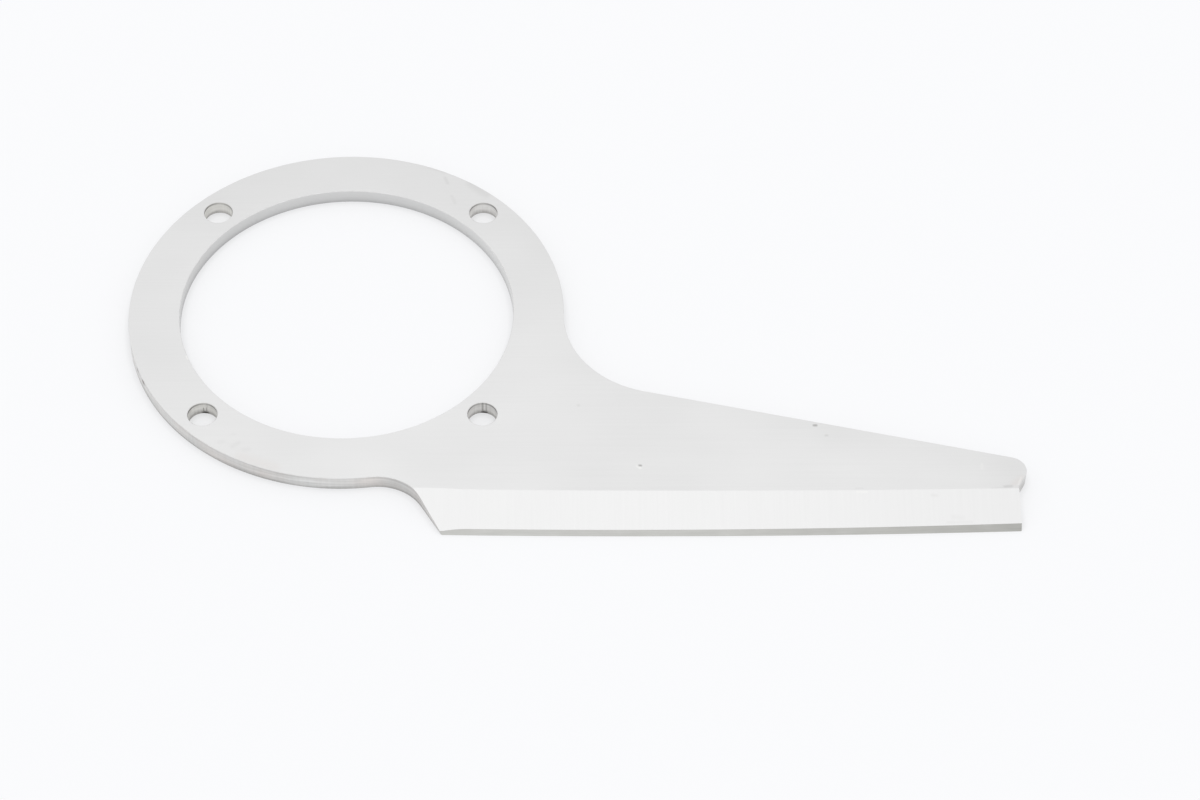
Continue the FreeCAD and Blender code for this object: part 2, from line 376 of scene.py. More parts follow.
# Painted light and shade: lighter towards the near side, darker towards the nose.
painted_light_near_to_far = course(tree, place, "Y", [(-62, 0.73), (0, 0.58), (60, 0.46)])
painted_light_heel_to_nose = course(tree, place, "X", [
    (40, 0.40), (85, 0.30), (150, 0.32), (190, 0.29), (206, 0.15)])
clouds = pattern(tree, place, (45, 35, 45), -0.10, 0.10)
# Brushing lines lie some 0.05 mm apart. They are drawn 0.6 mm apart, so that they show at all.
lines = pattern(tree, place, (60, 0.6, 60), -0.03, 0.03, detail=4.0)
steel_tone = blend(tree, [painted_light_near_to_far, painted_light_heel_to_nose, -0.40, clouds, lines], "d6d6d6", "eeeeee")
print("rolled face before its marks:", len(tree.nodes), "nodes")

# %% Specks, stains, rubbed places, painted glints and painted shade on the face
top_face = plate_thickness / MM
dull_marks_and_shade = [
    ((x, y, top_face), (end_x, end_y, top_face), radius, strength)
    for x, y, end_x, end_y, radius, strength in (
        (143.2, -47.2, 143.8, -47.2, 0.8, 0.50),
        (146.5, -51.2, 146.9, -51.2, 0.8, 0.16),
        (89.6, -62.9, 90.0, -62.9, 0.7, 0.55),
        (71.7, -39.1, 71.7, -39.1, 0.9, 0.10),
        (25.2, 63.7, 29.7, 61.5, 2.4, 0.08),
        (30.0, 58.0, 30.8, 55.6, 1.0, 0.09),
        (32.2, 49.8, 33.3, 46.7, 1.0, 0.06),
        (38.2, 55.2, 43.3, 50.4, 2.6, 0.08),
        (-33.0, -50.4, -32.2, -50.4, 0.9, 0.03),
        (-36.6, -53.4, -35.7, -53.2, 1.3, 0.04),
        (-32.6, -55.2, -30.9, -53.8, 1.4, 0.05),
        (-28.9, -56.6, -28.0, -56.4, 1.6, 0.04),
        (199.0, -71.3, 200.9, -71.1, 1.0, 0.17),
        (195.0, -71.9, 199.0, -71.6, 0.5, 0.06),
        (154.2, -71.8, 156.2, -71.8, 0.5, 0.06),
        # The broad last stroke is painted shade along the back edge near the nose.
        (150.0, -50.0, 200.0, -63.0, 10.0, 0.025),
    )]
# Painted glints, one of them at the bore's rim.
painted_glints = [
    ((89.0, -63.2, top_face), (89.8, -63.8, top_face), 0.8, 0.5),
    ((192.9, -62.5, top_face), (192.7, -64.3, top_face), 0.8, 0.18),
    ((204.2, -67.8, top_face), (203.1, -70.4, top_face), 0.5, 0.25),
    ((-48.4, -19.0, top_face), (-48.0, -20.0, top_face), 0.8, 0.8),
]
worn_and_shaded = blend(tree, [strokes(tree, place, dull_marks_and_shade)], steel_tone, "6f6c68")
warm = blend(tree, [strokes(tree, place, [
    ((-30, -59.5, top_face), (-20, -63.5, top_face), 3.5, 0.16),
    ((202.0, -70.0, top_face), (204.5, -68.0, top_face), 2.0, 0.20)])], worn_and_shaded, "dcd2cc")
face_tone = blend(tree, [strokes(tree, place, painted_glints)], warm, "f8f8f6")
silk = pattern(tree, place, (30, 0.6, 30), 0.38, 0.46)
close_steel(rolled_face, face_tone, silk, lines, depth=0.002 * MM)

# %% [markdown]
# ### The cut wall
#
# The blank is cut out of the plate with a beam. The beam leaves a matt wall with fine upright
# ridges and with long, soft bands along it. The wall's foot is darker, partly from the melt that
# the beam pushes down and partly from painted shade where the wall meets the floor, and the wall
# is a little darker just under the upper rim. In the hollow beside the heel painted shade darkens
# the wall. Along the ring's lower left and under the nose the wall has taken on a dull, slightly
# warm tint, and two nicks at the ring's left are darker still. The height above the floor is read
# from
# Z, which keeps the dark foot equally high all round.

# %% Beam cut wall
cut_wall, tree, place = start_steel("beam_cut_stainless_wall")
# Darker at the foot, partly melt and partly painted shade; a little darker under the upper rim.
height = course(tree, place, "Z", [
    (0.0, 0.10), (0.35, 0.18), (0.9, 0.52), (1.6, 0.70), (2.6, 0.78), (3.7, 0.76), (4.4, 0.62),
    (5.0, 0.70)])
bands = pattern(tree, place, (16, 16, 0.8), -0.17, 0.17)
# The ridges lie some 0.2 mm apart. They are drawn 0.8 mm apart, so that they show at all.
ridges = pattern(tree, place, (0.8, 0.8, 30), -0.05, 0.05)
tint = blend(tree, [pattern(tree, place, (9, 9, 9), 0.0, 1.0)], "e7e8e7", "eae6e3")
wall_tone = blend(tree, [height, bands, ridges], "aeadab", tint)
dull_places_and_hollow_shade = strokes(tree, place, [
    # The first stroke is painted shade in the hollow beside the heel.
    ((17.0, -67.5, 2.5), (22.0, -73.5, 2.5), 9.0, 0.24),
    ((-44.0, -51.5, 2.5), (-18.0, -65.0, 2.5), 8.0, 0.12),
    ((-63.4, -23.9, 4.2), (-63.3, -24.2, 4.2), 1.3, 1.0),
    ((-61.5, -28.5, 4.0), (-61.2, -29.1, 4.2), 1.5, 1.0),
    ((205.5, -67.3, 2.5), (204.4, -69.4, 2.5), 2.0, 0.20),
    ((203.9, -70.6, 2.5), (203.2, -71.6, 2.0), 1.6, 0.28)])
dulled_and_shaded = blend(tree, [dull_places_and_hollow_shade], wall_tone, "8a8380")
wall_roughness = pattern(tree, place, (3, 3, 3), 0.45, 0.55)
close_steel(cut_wall, dulled_and_shaded, wall_roughness, ridges, depth=0.02 * MM)

# %% [markdown]
# ### The bolt holes' walls
#
# The bolt holes are cut with the same beam. Painted shade darkens the foot of their walls and
# draws a fine dark line under the upper rim that is stronger towards each hole's sides, and
# painted light makes the walls of the two far holes a little lighter than those of the near ones.
# In the two holes nearest to the edge the place where the beam started is still to be seen: a
# burnt spot at the foot, with two upright lines of painted shade above it where the sides of a
# shallow groove would be. They are strokes at fixed places on the wall, so they stay there from
# every side.

# %% Beam cut holes
hole_wall, tree, place = start_steel("beam_cut_stainless_hole")
# Painted shade: darker towards the foot, and a little towards the upper rim.
height = course(tree, place, "Z", [
    (0.0, 0.25), (0.4, 0.30), (0.85, 0.44), (1.3, 0.66), (1.8, 0.86), (2.6, 0.96), (3.6, 0.98),
    (5.0, 0.85)])
# Painted light: the far holes' walls are a little lighter than the near ones'.
painted_light_near_to_far = course(tree, place, "Y", [(-48, 0.0), (-38, 0.0), (38, 0.14), (48, 0.14)])
bands = pattern(tree, place, (6, 6, 0.9), -0.10, 0.10)
# The ridges lie some 0.2 mm apart. They are drawn 0.5 mm apart, so that they show at all.
ridges = pattern(tree, place, (0.5, 0.5, 30), -0.08, 0.08)
tint = blend(tree, [course(tree, place, "X", [(-48, 0.0), (48, 1.0)])], "eeede9", "eeedeb")
wall_tone = blend(tree, [height, painted_light_near_to_far, -0.17, bands, ridges], "a5a3a0", tint)
print("hole wall before its burns:", len(tree.nodes), "nodes")

# %% Painted shade under the rims, and where the beam started in the holes
# Painted shade: a fine dark line under the upper rim, stronger towards each hole's sides.
under_rim_band = course(tree, place, "Z", [(3.9, 0.0), (4.3, 1.0), (4.6, 1.0), (4.9, 0.0)])
towards_sides = course(tree, place, "X", [
    (-46.5, 0.75), (-44.8, 0.45), (-42.2, 0.20), (-39.6, 0.45), (-37.9, 0.75),
    (37.9, 0.75), (39.6, 0.45), (42.2, 0.20), (44.8, 0.45), (46.5, 0.75)])
under_rim_shade_line = add_node(tree, "ShaderNodeMath", {0: under_rim_band, 1: towards_sides}, operation="MULTIPLY")
under_rim_shaded = blend(tree, [under_rim_shade_line.outputs["Value"]], wall_tone, "4a4744")
# The start marks stand on the far side of the two holes nearest to the edge.
far_wall = -bolt_circle_radius * math.sin(first_bolt_angle) / MM + bolt_hole_radius / MM
# Each start mark is a burnt spot at the foot and two upright lines of painted shade above it.
start_burns_and_shade = [
    ((x, far_wall, foot), (end_x, far_wall, end), radius, strength)
    for x, foot, end_x, end, radius, strength in (
        (42.6, 0.4, 43.5, 0.4, 1.2, 0.92),
        (42.45, 1.0, 42.45, 4.9, 0.5, 0.45),
        (43.6, 1.0, 43.6, 4.9, 0.5, 0.42),
        (-42.4, 0.4, -41.5, 0.4, 1.2, 0.92),
        (-42.5, 1.0, -42.5, 2.5, 0.4, 0.45),
        (-41.6, 1.0, -41.6, 2.7, 0.4, 0.45),
        (-41.3, 2.7, -41.3, 4.9, 0.4, 0.20),
    )]
burnt_and_shaded = blend(tree, [strokes(tree, place, start_burns_and_shade)], under_rim_shaded, "35312d")
hole_roughness = pattern(tree, place, (2, 2, 2), 0.45, 0.55)
close_steel(hole_wall, burnt_and_shaded, hole_roughness, ridges, depth=0.02 * MM)

# %% [markdown]
# ### The bored wall
#
# The bore has to fit the knife head closely, so it is turned on a machine after the cutting. That
# leaves a fine, even wall with rings all round it. Painted shade makes it darker at the foot than
# at the top, and painted light makes its sides lighter than its far side and its right lighter
# than its left.

# %% Bored wall
bored_wall, tree, place = start_steel("bored_stainless_wall")
# Painted shade: darker towards the foot.
height = course(tree, place, "Z", [
    (0.0, 0.08), (0.3, 0.14), (0.8, 0.30), (1.5, 0.50), (2.5, 0.65), (3.5, 0.71), (4.5, 0.76),
    (5.0, 0.85)])
# Painted light: lighter at the bore's sides than at its far side, and lighter to the right.
painted_light_near_to_far = course(tree, place, "Y", [(-20, 0.15), (20, 0.12), (40, 0.02), (52, 0.0)])
painted_light_left_to_right = course(tree, place, "X", [(-46, 0.0), (-25, 0.13), (25, 0.13), (42, 0.28)])
# The tool's rings lie some 0.1 mm apart. They are drawn 0.5 mm apart, so that they show at all.
rings = pattern(tree, place, (40, 40, 0.5), -0.05, 0.05)
clouds = pattern(tree, place, (12, 12, 12), -0.03, 0.03)
wall_tone = blend(tree, [
    height, painted_light_near_to_far, painted_light_left_to_right, -0.13, rings, clouds], "b9b9b9", "dfdfde")
bore_roughness = pattern(tree, place, (40, 40, 0.5), 0.40, 0.48)
close_steel(bored_wall, wall_tone, bore_roughness, rings, depth=0.004 * MM)

# %% [markdown]
# ### The broken rim
#
# A cut plate has rims that would cut a hand. They are taken off with a stone, by hand, so the
# small flat that is left changes a little from place to place.

# %% Stoned rim
broken_rim, tree, place = start_steel("stoned_stainless_rim")
wear = pattern(tree, place, (2, 2, 2), 0.0, 1.0)
rim_tone = blend(tree, [wear], "dededd", "ebebeb")
rim_roughness = pattern(tree, place, (4, 4, 4), 0.36, 0.44)
close_steel(broken_rim, rim_tone, rim_roughness, wear, depth=0.003 * MM)

# %% [markdown]
# ### The wide bevel
#
# The wide bevel is ground on a belt that runs across the blade. It is smoother than the plate and
# therefore reads as the lightest surface of the knife. Its lines are so fine that they hardly
# show.
# Painted shade darkens it towards the tip, and near the nose it has a few dull touches and a few
# painted highlights.

# %% Belt ground bevel
wide_bevel, tree, place = start_steel("belt_ground_stainless")
# Painted shade: darker towards the tip.
painted_light_heel_to_tip = course(tree, place, "X", [
    (20, 0.62), (60, 0.60), (100, 0.62), (150, 0.46), (205, 0.26)])
# Grinding lines lie some 0.08 mm apart. They are drawn 0.8 mm apart, so that they show at all.
lines = pattern(tree, place, (0.8, 40, 40), -0.07, 0.07)
ground_tone = blend(tree, [painted_light_heel_to_tip, lines], "e4e4e4", "f0f0f0")
touched = blend(tree, [strokes(tree, place, [
    ((176.9, -74.1, 4.5), (178.2, -74.2, 4.4), 0.9, 0.09),
    ((182.9, -80.9, 2.5), (185.8, -81.2, 2.4), 1.4, 0.05),
    ((181.0, -82.6, 2.0), (188.3, -82.4, 2.0), 0.7, 0.07)])], ground_tone, "a5a29e")
# Painted highlights near the nose and under the bevel's top line.
painted_highlights = strokes(tree, place, [
    ((188.0, -84.1, 1.25), (202.9, -83.6, 1.25), 0.8, 0.6),
    ((154.5, -73.1, 4.9), (157.5, -73.1, 4.9), 0.6, 0.2)])
lit = blend(tree, [painted_highlights], touched, "fafaf5")
bevel_roughness = pattern(tree, place, (0.8, 30, 30), 0.33, 0.39)
close_steel(wide_bevel, lit, bevel_roughness, lines, depth=0.002 * MM)

# %% [markdown]
# ### The narrow bevel
#
# The last strip along the edge is honed at a steep angle. It faces the reader rather than the
# ceiling and shows the floor and the lower walls of the room, so it is the darkest strip of the
# blade. Its dark tones paint part of that shade in, and painted shade darkens it towards the tip.
# Fine streaks run along it.

# %% Honed edge
narrow_bevel, tree, place = start_steel("honed_stainless_edge")
# Painted shade: darker towards the tip.
painted_light_heel_to_tip = course(tree, place, "X", [
    (31, 0.80), (60, 0.84), (100, 0.77), (120, 0.75), (140, 0.62), (160, 0.58), (180, 0.42),
    (190, 0.42), (198, 0.37), (203, 0.24)])
# The hone's streaks lie some 0.03 mm apart. They are drawn 0.4 mm apart, so that they show.
streaks = pattern(tree, place, (10, 0.4, 0.4), -0.08, 0.08)
patches = pattern(tree, place, (6, 6, 6), -0.05, 0.05)
# The dark and light tones are darker than the face's, painting part of the strip's shade.
honed_tone = blend(tree, [painted_light_heel_to_tip, streaks, patches], "a8a8a4", "d5d5d2")
honed_roughness = pattern(tree, place, (8, 0.4, 0.4), 0.32, 0.38)
close_steel(narrow_bevel, honed_tone, honed_roughness, streaks, depth=0.002 * MM)

# %% [markdown]
# ## The solid
#
# The workshop cuts the blank out of the plate, breaks its sharp rims and then grinds the two
# bevels with a wheel that travels along the edge. Modelling it face by face would be possible,
# but each change of a size would mean new points. A Geometry Nodes tree can follow the workshop
# instead: it copies the bolt hole round its circle, raises the walls along the outline, closes
# the faces, and takes away what two wheels sweep along their arcs. Every size of the knife is an
# input of the tree.

# %% Give the tree its inputs
knife_tree = bpy.data.node_groups.new("ground_knife", "GeometryNodeTree")
knife_tree.interface.new_socket(name="Knife", in_out="OUTPUT", socket_type="NodeSocketGeometry")
knife_tree.interface.new_socket(name="Outline", in_out="INPUT", socket_type="NodeSocketGeometry")
sizes = {
    "Plate Thickness": plate_thickness,
    "Rim Break": 0.15 * MM,
    "Bore Radius": bore_radius,
    "Bolt Circle Radius": bolt_circle_radius,
    "Bolt Hole Radius": bolt_hole_radius,
    "First Bolt Angle": first_bolt_angle,
    "Bolt Count": bolt_count,
    "Bevel Slope": bevel_slope,
    "Bevel Arc Radius": bevel_arc_radius,
    "Bevel Arc Station": bevel_arc_station,
    "Bevel Arc Drop": edge_drop - bevel_width,
    "Heel Dip": 0.16 * MM,
    "Heel Twist": math.radians(1.1),
    "Heel Dip Length": 8 * MM,
    "Heel Dip Station": 31 * MM,
    "Edge Slope": math.tan(edge_angle),
    "Edge Arc Radius": edge_arc_radius,
    "Edge Arc Station": edge_arc_station,
    "Edge Arc Drop": edge_drop,
}
finishes = {
    "Rolled Face": rolled_face,
    "Cut Wall": cut_wall,
    "Hole Wall": hole_wall,
    "Bored Wall": bored_wall,
    "Broken Rim": broken_rim,
    "Wide Bevel": wide_bevel,
    "Narrow Bevel": narrow_bevel,
}
socket_kinds = {float: "NodeSocketFloat", int: "NodeSocketInt"}
tree_inputs = {
    name: knife_tree.interface.new_socket(
        name=name, in_out="INPUT",
        socket_type=socket_kinds.get(type(value), "NodeSocketMaterial"))
    for name, value in (sizes | finishes).items()}
given = add_node(knife_tree, "NodeGroupInput").outputs
print("tree with", len(tree_inputs), "named inputs")

# %% [markdown]
# ### The plan
#
# The outline comes in as the object's own mesh. The bore is one circle. The bolt hole is a small
# circle, instanced on the corners of a ring of points: the count and the angle are inputs, so a
# knife with six holes needs no new geometry. The circles run clockwise, against the outline, so
# the steel is on the left of every loop.

# %% Set the bolt holes round their circle
bolt_hole_steps = 64
bolt_places = add_node(knife_tree, "GeometryNodeMeshCircle", {
    "Vertices": given["Bolt Count"], "Radius": given["Bolt Circle Radius"]})
turn = add_node(knife_tree, "ShaderNodeCombineXYZ", {"Z": given["First Bolt Angle"]})
turned_places = add_node(knife_tree, "GeometryNodeTransform", {
    "Geometry": bolt_places.outputs["Mesh"], "Rotation": turn})
bolt_hole = add_node(knife_tree, "GeometryNodeCurvePrimitiveCircle", {
    "Resolution": bolt_hole_steps, "Radius": given["Bolt Hole Radius"]})
bolt_holes = add_node(knife_tree, "GeometryNodeInstanceOnPoints", {
    "Points": turned_places.outputs["Geometry"], "Instance": bolt_hole.outputs["Curve"]})
real_holes = add_node(knife_tree, "GeometryNodeRealizeInstances", {
    "Geometry": bolt_holes.outputs["Instances"]})
print(bolt_count, "bolt holes of", bolt_hole_steps, "steps each")

# %% Lay out the outline and the bore, and turn every loop the right way
bore_steps = 192
outline_curve = add_node(knife_tree, "GeometryNodeMeshToCurve", {"Mesh": given["Outline"]})
bore_circle = add_node(knife_tree, "GeometryNodeCurvePrimitiveCircle", {
    "Resolution": bore_steps, "Radius": given["Bore Radius"]})
bore_clockwise, holes_clockwise = [
    add_node(knife_tree, "GeometryNodeReverseCurve", {"Curve": circle}).outputs["Curve"]
    for circle in (bore_circle.outputs["Curve"], real_holes.outputs["Geometry"])]
outer_loop, bore_loop, hole_loops = [
    add_node(knife_tree, "GeometryNodeSetCurveNormal", {
        "Curve": loop}, mode="Z_UP").outputs["Curve"]
    for loop in (outline_curve.outputs["Curve"], bore_clockwise, holes_clockwise)]
print("one outline, one bore,", bolt_count, "bolt holes")

# %% [markdown]
# ### Walls and rims
#
# A short line swept along a path draws a strip. Three strips one above the other make the side
# of the plate: the upper rim's break, the wall and the lower rim's break. A sweep measures its
# profile outwards from the path and downwards from its height, so heights are written negative
# here. A stamped plate would have round, rolled rims. This one is cut and stoned by hand, which
# leaves a small flat.
#
# The number of its finish is written on every face as it is made. The booleans later on carry
# that number along, and at the very end it picks the material.


# %% Write a finish on a surface
def label(mesh, finish):
    """Write a finish's number on every face of a mesh."""
    return add_node(knife_tree, "GeometryNodeStoreNamedAttribute", {
        "Geometry": mesh, "Name": "finish", "Value": list(finishes).index(finish)},
        data_type="INT", domain="FACE").outputs["Geometry"]


print("finishes by number:", dict(enumerate(finishes)))

# %% Work out the four corners of the plate's side
rim_in, top = [
    add_node(knife_tree, "ShaderNodeMath", {0: given[size], 1: -1.0}, operation="MULTIPLY")
    for size in ("Rim Break", "Plate Thickness")]
wall_top = add_node(knife_tree, "ShaderNodeMath", {
    0: top, 1: given["Rim Break"]}, operation="ADD")
side_corners = [
    add_node(knife_tree, "ShaderNodeCombineXYZ", {"X": outwards, "Y": downwards})
    for outwards, downwards in ((rim_in, top), (0.0, wall_top), (0.0, rim_in), (rim_in, 0.0))]
print(len(side_corners), "corners from the upper face down to the lower one")

# %% Sweep the three strips along every loop
strips = []
for loop, wall_finish in (
    (outer_loop, "Cut Wall"), (bore_loop, "Bored Wall"), (hole_loops, "Hole Wall"),
):
    strip_finishes = ("Broken Rim", wall_finish, "Broken Rim")
    for start, end, finish in zip(side_corners, side_corners[1:], strip_finishes):
        profile = add_node(knife_tree, "GeometryNodeCurvePrimitiveLine", {
            "Start": start, "End": end})
        strip = add_node(knife_tree, "GeometryNodeCurveToMesh", {
            "Curve": loop, "Profile Curve": profile.outputs["Curve"]})
        strips.append(label(strip.outputs["Mesh"], finish))
print(len(strips), "strips")

# %% [markdown]
# ### The two faces
#
# The faces are the plan filled in, a rim's break inside every loop. One many-sided face with
# holes has no long, thin triangles that could show in a reflection. The lower face is the upper
# one turned over. Welding the points that meet makes the blank watertight, and that is what the
# booleans of the next step need.

# %% Close the blank
weld_distance = 0.01 * MM
outward = add_node(knife_tree, "GeometryNodeInputNormal").outputs["Normal"]
step_in = add_node(knife_tree, "ShaderNodeVectorMath", {
    0: outward, "Scale": rim_in}, operation="SCALE").outputs["Vector"]
all_loops = add_node(knife_tree, "GeometryNodeJoinGeometry", {
    "Geometry": [outer_loop, bore_loop, hole_loops]})
face_loops = add_node(knife_tree, "GeometryNodeSetPosition", {
    "Geometry": all_loops.outputs["Geometry"], "Offset": step_in})
flat = add_node(knife_tree, "GeometryNodeFillCurve", {
    "Curve": face_loops.outputs["Geometry"]}, mode="NGONS")
flat_face = label(flat.outputs["Mesh"], "Rolled Face")
lift = add_node(knife_tree, "ShaderNodeCombineXYZ", {"Z": given["Plate Thickness"]})
upper_face = add_node(knife_tree, "GeometryNodeTransform", {
    "Geometry": flat_face, "Translation": lift})
lower_face = add_node(knife_tree, "GeometryNodeFlipFaces", {"Mesh": flat_face})
pieces = add_node(knife_tree, "GeometryNodeJoinGeometry", {
    "Geometry": [*strips, upper_face.outputs["Geometry"], lower_face.outputs["Mesh"]]})
blank = add_node(knife_tree, "GeometryNodeMergeByDistance", {
    "Geometry": pieces.outputs["Geometry"], "Distance": weld_distance}).outputs["Geometry"]
print("blank after", len(knife_tree.nodes), "nodes")

# %% [markdown]
# ### Grinding
#
# Each wheel is a wedge swept along an arc: what it passes through is gone, and the face it leaves
# keeps the wheel's finish. The wide bevel's top line is a slightly flatter arc than the edge
# itself, so the bevel is not equally wide everywhere. Where the belt comes onto the blade at the
# heel it sinks in a little and turns, which thins the edge there over a few millimetres.


# %% Place a wheel's arc
def arc_place(wheel, x):
    """Return Y at X on the arc that the inputs named after the wheel give."""
    radius = given[wheel + " Arc Radius"]
    along = add_node(knife_tree, "ShaderNodeMath", {
        0: x, 1: given[wheel + " Arc Station"]}, operation="SUBTRACT")
    radius_squared, along_squared = [
        add_node(knife_tree, "ShaderNodeMath", {0: side, 1: side}, operation="MULTIPLY")
        for side in (radius, along)]
    height_squared = add_node(knife_tree, "ShaderNodeMath", {
        0: radius_squared, 1: along_squared}, operation="SUBTRACT")
    height = add_node(knife_tree, "ShaderNodeMath", {0: height_squared}, operation="SQRT")
    centre = add_node(knife_tree, "ShaderNodeMath", {
        0: radius, 1: given[wheel + " Arc Drop"]}, operation="SUBTRACT")
    return add_node(knife_tree, "ShaderNodeMath", {0: centre, 1: height}, operation="SUBTRACT")


# %% Let a wheel sink in at the heel
def heel_bite(x):
    """Return a share that is 1 at the heel and fades to 0 over the dip's length."""
    length = given["Heel Dip Length"]
    level_from = add_node(knife_tree, "ShaderNodeMath", {
        0: given["Heel Dip Station"], 1: length}, operation="ADD")
    left = add_node(knife_tree, "ShaderNodeMath", {0: level_from, 1: x}, operation="SUBTRACT")
    fade = add_node(knife_tree, "ShaderNodeMath", {
        0: left, 1: length}, operation="DIVIDE", use_clamp=True)
    return add_node(knife_tree, "ShaderNodeMath", {0: fade, 1: 2.0}, operation="POWER")


# %% Lay a wheel's path
# A wheel comes on before the heel and goes off beyond the end face.
path_start, path_end, path_points = 8 * MM, 214 * MM, 207
print("a wheel moves in steps of %.1f mm" % ((path_end - path_start) / (path_points - 1) / MM))


def wheel_path(wheel, rise, twist):
    """Return a wheel's arc, which at the heel is shifted by the rise and turned by the twist."""
    line = add_node(knife_tree, "GeometryNodeCurvePrimitiveLine", {
        "Start": (path_start, 0, 0), "End": (path_end, 0, 0)})
    stations = add_node(knife_tree, "GeometryNodeResampleCurve", {
        "Curve": line.outputs["Curve"], "Count": path_points})
    position = add_node(knife_tree, "GeometryNodeInputPosition").outputs["Position"]
    x = add_node(knife_tree, "ShaderNodeSeparateXYZ", {"Vector": position}).outputs["X"]
    bite = heel_bite(x)
    height, tilt = [
        add_node(knife_tree, "ShaderNodeMath", {0: bite, 1: most}, operation="MULTIPLY")
        for most in (rise, twist)]
    bent_place = add_node(knife_tree, "ShaderNodeCombineXYZ", {
        "X": x, "Y": arc_place(wheel, x), "Z": height})
    bent = add_node(knife_tree, "GeometryNodeSetPosition", {
        "Geometry": stations.outputs["Curve"], "Position": bent_place})
    upright = add_node(knife_tree, "GeometryNodeSetCurveNormal", {
        "Curve": bent.outputs["Geometry"]}, mode="Z_UP")
    return add_node(knife_tree, "GeometryNodeSetCurveTilt", {
        "Curve": upright.outputs["Curve"], "Tilt": tilt}).outputs["Curve"]


# %% Sweep a wheel along its path
def grind(body, path, finish, slope, surface, inside, outside):
    """Take off the body what a wedge of this slope sweeps, from inside to outside the path."""
    depth_inside, depth_outside = [
        add_node(knife_tree, "ShaderNodeMath", {
            0: slope, 1: reach, 2: surface}, operation="MULTIPLY_ADD")
        for reach in (-inside, outside)]
    clear = add_node(knife_tree, "ShaderNodeMath", {0: top, 1: 2.0}, operation="MULTIPLY")
    corners = [
        add_node(knife_tree, "ShaderNodeCombineXYZ", {"X": outwards, "Y": downwards})
        for outwards, downwards in (
            (-inside, depth_inside), (-inside, clear), (outside, clear),
            (outside, depth_outside))]
    wedge = add_node(knife_tree, "GeometryNodeCurvePrimitiveQuadrilateral", {
        "Point %d" % number: corner for number, corner in enumerate(corners, start=1)},
        mode="POINTS")
    swept = add_node(knife_tree, "GeometryNodeCurveToMesh", {
        "Curve": path, "Profile Curve": wedge.outputs["Curve"], "Fill Caps": True})
    ground = add_node(knife_tree, "GeometryNodeMeshBoolean", {
        "Mesh 1": body, "Mesh 2": [label(swept.outputs["Mesh"], finish)]},
        operation="DIFFERENCE", solver="EXACT")
    return ground.outputs["Mesh"]


# %% Grind the wide bevel, then the narrow one
# Each wedge reaches a little inside its path, to come clear of the steel, and well past the edge.
heel_dip = add_node(knife_tree, "ShaderNodeMath", {
    0: given["Heel Dip"], 1: -1.0}, operation="MULTIPLY")
thinned = grind(
    blank, wheel_path("Bevel", heel_dip, given["Heel Twist"]), "Wide Bevel",
    given["Bevel Slope"], surface=top, inside=2 * MM, outside=18 * MM)
sharpened = grind(
    thinned, wheel_path("Edge", 0.0, 0.0), "Narrow Bevel",
    given["Edge Slope"], surface=0.0, inside=5 * MM, outside=4 * MM)
print("ground after", len(knife_tree.nodes), "nodes")

# %% [markdown]
# ### Shading and paint
#
# Smooth shading hides the short steps of the arcs, and sharp edges keep the rims crisp. The
# steps turn by less than 9 degrees and the rims by more, so that angle tells them apart. Last in
# the tree, each face gets the material whose number it carries.

# %% Smooth the arcs and keep the rims crisp
crisp_angle = math.radians(9)
angle = add_node(knife_tree, "GeometryNodeInputMeshEdgeAngle").outputs["Unsigned Angle"]
crisp = add_node(knife_tree, "FunctionNodeCompare", {
    "A": angle, "B": crisp_angle}, operation="GREATER_THAN")
smooth = add_node(knife_tree, "GeometryNodeSetShadeSmooth", {
    "Geometry": sharpened, "Shade Smooth": True})
rims = add_node(knife_tree, "GeometryNodeSetShadeSmooth", {
    "Geometry": smooth.outputs["Geometry"], "Selection": crisp.outputs["Result"],
    "Shade Smooth": False}, domain="EDGE")
print("edges that turn by more than %.0f degrees stay crisp" % math.degrees(crisp_angle))

# %% Paint by number
painted = add_node(knife_tree, "GeometryNodeRealizeInstances", {
    "Geometry": rims.outputs["Geometry"]}).outputs["Geometry"]
number = add_node(knife_tree, "GeometryNodeInputNamedAttribute", {
    "Name": "finish"}, data_type="INT")
for place_in_list, finish in enumerate(finishes):
    chosen = add_node(knife_tree, "FunctionNodeCompare", {
        2: number.outputs["Attribute"], 3: place_in_list}, data_type="INT", operation="EQUAL")
    painted = add_node(knife_tree, "GeometryNodeSetMaterial", {
        "Geometry": painted, "Selection": chosen.outputs["Result"],
        "Material": given[finish]}).outputs["Geometry"]
add_node(knife_tree, "NodeGroupOutput", {"Knife": painted})
print("tree of", len(knife_tree.nodes), "nodes")

# %% [markdown]
# ## From the tree to a plain mesh
#
# The tree runs as a modifier on the plan. What it makes is copied into a mesh of its own, and the
# modifier goes, so that the finished knife is plain geometry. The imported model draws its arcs
# with chords of its own, so its box is up to 0.02 mm smaller than true arcs reach. The few points
# that stand out of it by so little are set back.

# %% Run the tree and keep its mesh
maker = bpy.data.objects.new("knife_maker", plan)
bpy.context.scene.collection.objects.link(maker)
modifier = maker.modifiers.new("ground_knife", "NODES")
modifier.node_group = knife_tree
for name, value in (sizes | finishes).items():
    modifier[tree_inputs[name].identifier] = value
evaluated = maker.evaluated_get(bpy.context.evaluated_depsgraph_get())
steel = bpy.data.meshes.new_from_object(evaluated)
bpy.data.objects.remove(maker)
steel.attributes.remove(steel.attributes["finish"])
print(len(steel.vertices), "points,", len(steel.polygons), "faces,",
      [slot.name for slot in steel.materials if slot])

# %% Set back what stands out of the box
furthest = 0.0
for vertex in steel.vertices:
    inside = Vector(
        min(max(place, low), high) for place, low, high in zip(vertex.co, cad_low, cad_high))
    furthest = max(furthest, (inside - vertex.co).length)
    vertex.co = inside
print("points set back by up to %.3f mm" % (furthest / MM))


